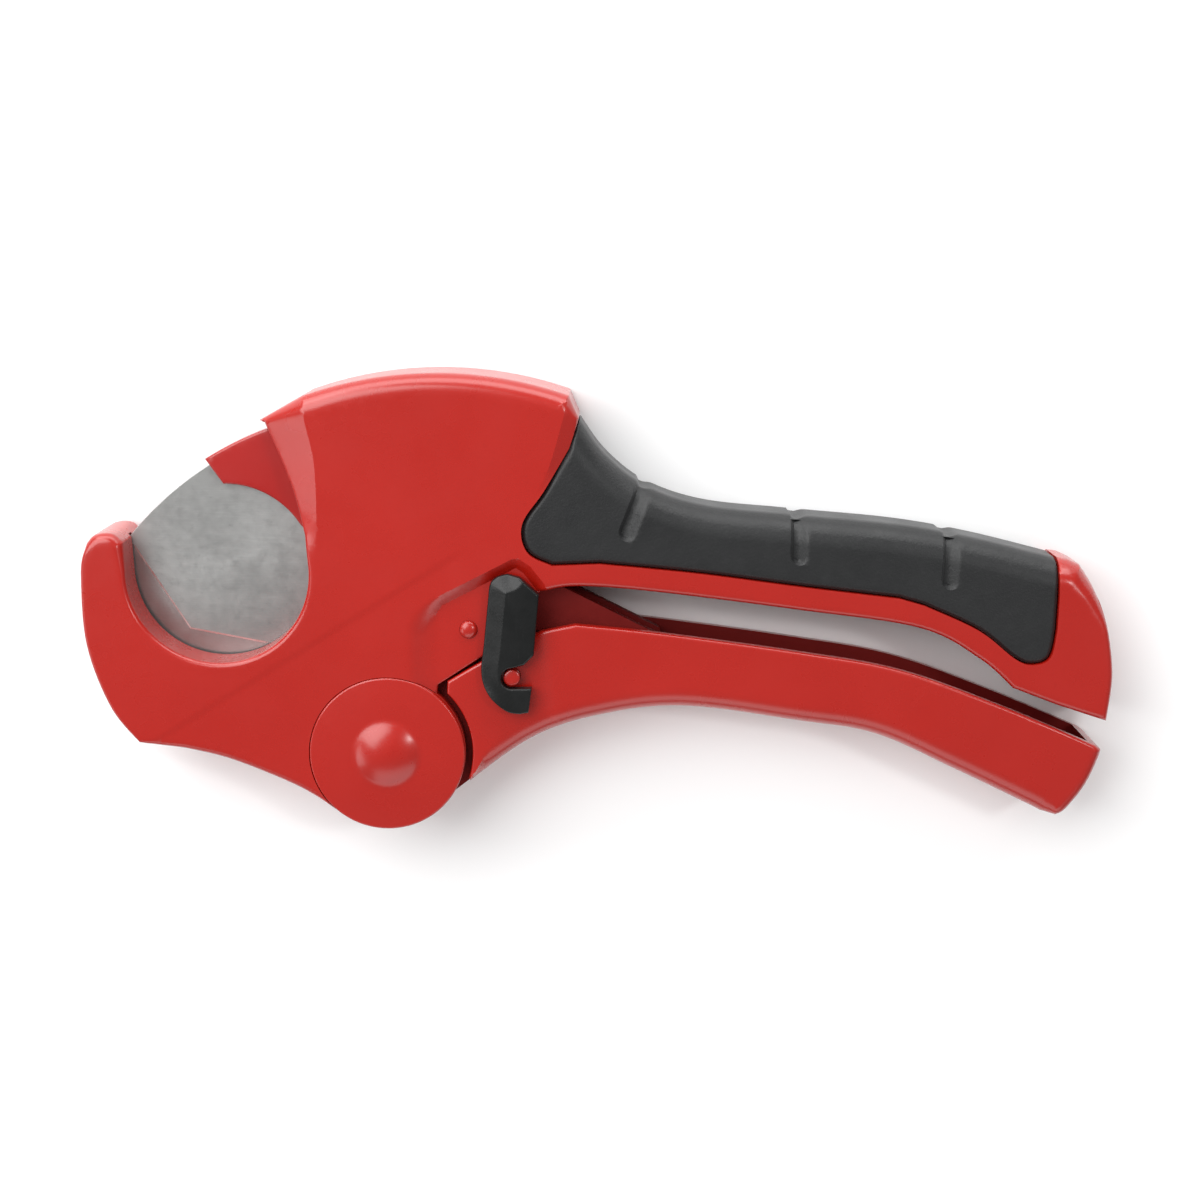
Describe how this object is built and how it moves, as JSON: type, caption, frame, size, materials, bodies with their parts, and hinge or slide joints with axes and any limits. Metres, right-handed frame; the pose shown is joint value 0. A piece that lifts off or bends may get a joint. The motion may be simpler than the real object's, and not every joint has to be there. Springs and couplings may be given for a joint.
{
  "type": "ratchet pvc pipe cutter",
  "caption": "Ratchet pipe cutter for plastic pipe: curved jaw with round pocket, swinging blade in a carrier, fixed handle with rubber grip, squeeze lever and safety latch.",
  "frame": {"origin": "on the main pivot axis, at the flat outer face of the far pivot cap, which is the face the tool lies on", "axes": "+Z along the pivot axis from the far side to the near side with the latch, +X along the handles away from the jaw, +Y from the lever towards the fixed handle"},
  "size_m": [0.2419, 0.1082, 0.0263],
  "materials": {
    "red_paint": "satin red coating on cast aluminium",
    "carrier_red": "satin red coating on steel",
    "grip_rubber": "matt charcoal soft rubber",
    "latch_black": "satin black moulding",
    "blade_steel": "mottled ground steel with a bright cutting edge",
    "hardware_steel": "plain machined steel",
    "bush_bronze": "turned bearing bronze"
  },
  "bodies": {
    "body": {"body_shell_near": "red_paint", "body_shell_far": "red_paint", "handle_grip": "grip_rubber", "pivot_cap_near": "red_paint", "pivot_cap_far": "red_paint", "body_screw_1": "hardware_steel", "body_screw_2": "hardware_steel", "body_screw_3": "hardware_steel", "body_screw_4": "hardware_steel", "pivot_bolt": "hardware_steel", "pivot_nut": "hardware_steel", "pivot_bush": "bush_bronze", "blade_spring": "hardware_steel", "holding_pawl_pin": "hardware_steel", "holding_pawl_spring": "hardware_steel", "latch_pin": "hardware_steel", "latch_detent_stud": "red_paint"},
    "lever": {"lever_handle": "red_paint", "catch_pin": "red_paint", "spring_post": "hardware_steel", "return_spring": "hardware_steel", "drive_pawl_spring": "hardware_steel"},
    "drive_pawl": {"drive_pawl": "hardware_steel"},
    "blade_carrier": {"blade_carrier": "carrier_red", "blade": "blade_steel", "blade_screw_1": "hardware_steel", "blade_screw_2": "hardware_steel"},
    "holding_pawl": {"holding_pawl": "hardware_steel"},
    "latch": {"latch": "latch_black"}
  },
  "joints": [
    {"name": "lever_swing", "type": "hinge", "parent": "body", "child": "lever", "pos_m": [0, 0, 0.012], "axis": [0, 0, -1], "range_deg": [0, 52], "deforming": ["return_spring"]},
    {"name": "blade_swing", "type": "hinge", "parent": "body", "child": "blade_carrier", "pos_m": [0, 0, 0.012], "axis": [0, 0, -1], "range_deg": [0, 52]},
    {"name": "drive_pawl_tilt", "type": "hinge", "parent": "lever", "child": "drive_pawl", "pos_m": [0.0297, 0.0187, 0.012], "axis": [0, 0, -1], "range_deg": [0, 10], "stiffness_Nm_per_rad": 0.02},
    {"name": "holding_pawl_tilt", "type": "hinge", "parent": "body", "child": "holding_pawl", "pos_m": [-0.029, 0.0085, 0.012], "axis": [0, 0, -1], "range_deg": [0, 3], "stiffness_Nm_per_rad": 0.02},
    {"name": "latch_swing", "type": "hinge", "parent": "body", "child": "latch", "pos_m": [0.03, 0.0372, 0.0249], "axis": [0, 0, -1], "range_deg": [0, 45]}
  ],
  "couplings": [
    {"joint": "blade_swing", "follows": "lever_swing", "ratio": 1}
  ]
}
